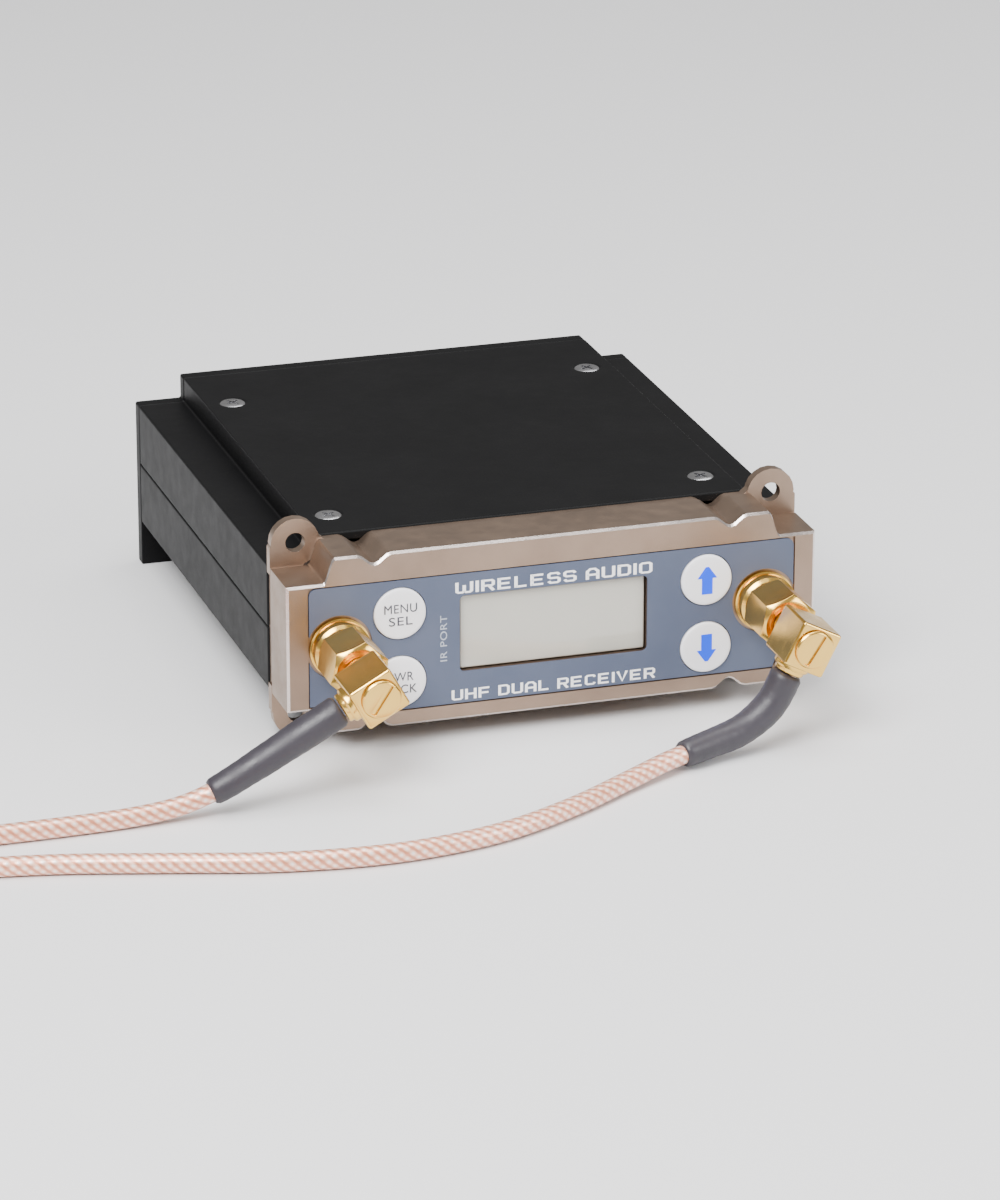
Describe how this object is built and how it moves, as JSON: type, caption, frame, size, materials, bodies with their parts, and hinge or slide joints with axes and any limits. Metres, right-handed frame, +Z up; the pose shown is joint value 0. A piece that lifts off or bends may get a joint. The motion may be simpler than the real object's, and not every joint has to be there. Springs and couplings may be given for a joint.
{
  "type": "wireless receiver unit",
  "caption": "Slot-mount wireless audio receiver with a display, press keys, threaded antenna jacks with captive-nut plugs and two thin coax leads.",
  "frame": {"origin": "on the surface that the unit stands on, under the middle of the unit without its leads", "axes": "+X to the right facing the front panel, +Y from the front panel to the rear plate, +Z up"},
  "size_m": [0.184, 0.1798, 0.0342],
  "materials": {
    "nickel": "nickel-plated machined alloy, satin, with bright edges",
    "black_anodised": "black anodised, satin",
    "label": "blue-grey printed overlay, satin",
    "display_glass": "pale grey-green display face, glossy",
    "white_key": "white moulded, satin",
    "dark_plastic": "moulded black",
    "circuit_board": "green solder mask",
    "steel": "bright zinc",
    "tinplate": "tinned",
    "ribbon": "amber film",
    "gold": "gold plated, polished",
    "heat_shrink": "dark grey-black sleeve, soft sheen",
    "coax": "clear pinkish jacket over a braided screen",
    "pigtail": "brown jacket"
  },
  "bodies": {
    "receiver": {"chassis_tray": "black_anodised", "coax_coil_left": "coax", "coax_coil_right": "coax", "coax_lead_left": "coax", "coax_lead_right": "coax", "cover_screw_1": "steel", "cover_screw_2": "steel", "cover_screw_3": "steel", "cover_screw_4": "steel", "display_ribbon": "ribbon", "dome_sheet": "steel", "ear_flange": "nickel", "far_plug_left": "gold", "far_plug_right": "gold", "far_shrink_left": "heat_shrink", "far_shrink_right": "heat_shrink", "front_bezel": "nickel", "heat_shrink_left": "heat_shrink", "heat_shrink_right": "heat_shrink", "ir_window": "dark_plastic", "jack_nut_left": "gold", "jack_nut_right": "gold", "jack_post_left": "steel", "jack_post_right": "steel", "keypad_board": "circuit_board", "label_overlay": "label", "lcd_glass": "display_glass", "lcd_module": "dark_plastic", "main_board": "circuit_board", "output_header": "dark_plastic", "pigtail_left": "pigtail", "pigtail_right": "pigtail", "plug_body_left": "gold", "plug_body_right": "gold", "plug_cap_left": "gold", "plug_cap_right": "gold", "power_inductor": "dark_plastic", "processor_chip": "dark_plastic", "rear_connector_insert": "dark_plastic", "rear_connector_shell": "tinplate", "rear_plate": "black_anodised", "rear_screw_1": "steel", "rear_screw_2": "steel", "rf_shield_left": "tinplate", "rf_shield_right": "tinplate", "sma_jack_left": "gold", "sma_jack_right": "gold", "top_cover": "black_anodised"},
    "key_menu": {"key_menu": "white_key"},
    "key_back": {"key_back": "white_key"},
    "key_up": {"key_up": "white_key"},
    "key_down": {"key_down": "white_key"},
    "coupling_nut_left": {"coupling_nut_left": "gold"},
    "coupling_nut_right": {"coupling_nut_right": "gold"},
    "far_nut_left": {"far_nut_left": "gold"},
    "far_nut_right": {"far_nut_right": "gold"}
  },
  "joints": [
    {"name": "menu_press", "type": "slide", "parent": "receiver", "child": "key_menu", "axis": [0, 1, 0], "range_m": [0, 0.0004], "stiffness_N_per_m": 400},
    {"name": "back_press", "type": "slide", "parent": "receiver", "child": "key_back", "axis": [0, 1, 0], "range_m": [0, 0.0004], "stiffness_N_per_m": 400},
    {"name": "up_press", "type": "slide", "parent": "receiver", "child": "key_up", "axis": [0, 1, 0], "range_m": [0, 0.0004], "stiffness_N_per_m": 400},
    {"name": "down_press", "type": "slide", "parent": "receiver", "child": "key_down", "axis": [0, 1, 0], "range_m": [0, 0.0004], "stiffness_N_per_m": 400},
    {"name": "coupling_nut_turn_left", "type": "hinge", "parent": "receiver", "child": "coupling_nut_left", "pos_m": [-0.033, -0.051, 0.0168], "axis": [0, 1, 0], "continuous": true},
    {"name": "coupling_nut_turn_right", "type": "hinge", "parent": "receiver", "child": "coupling_nut_right", "pos_m": [0.033, -0.051, 0.0168], "axis": [0, 1, 0], "continuous": true},
    {"name": "far_nut_turn_left", "type": "hinge", "parent": "receiver", "child": "far_nut_left", "pos_m": [-0.129, -0.03624, 0.00802], "axis": [0, 0.9962, -0.0872], "continuous": true},
    {"name": "far_nut_turn_right", "type": "hinge", "parent": "receiver", "child": "far_nut_right", "pos_m": [-0.139, -0.09775, 0.00513], "axis": [0, 1, 0], "continuous": true}
  ]
}
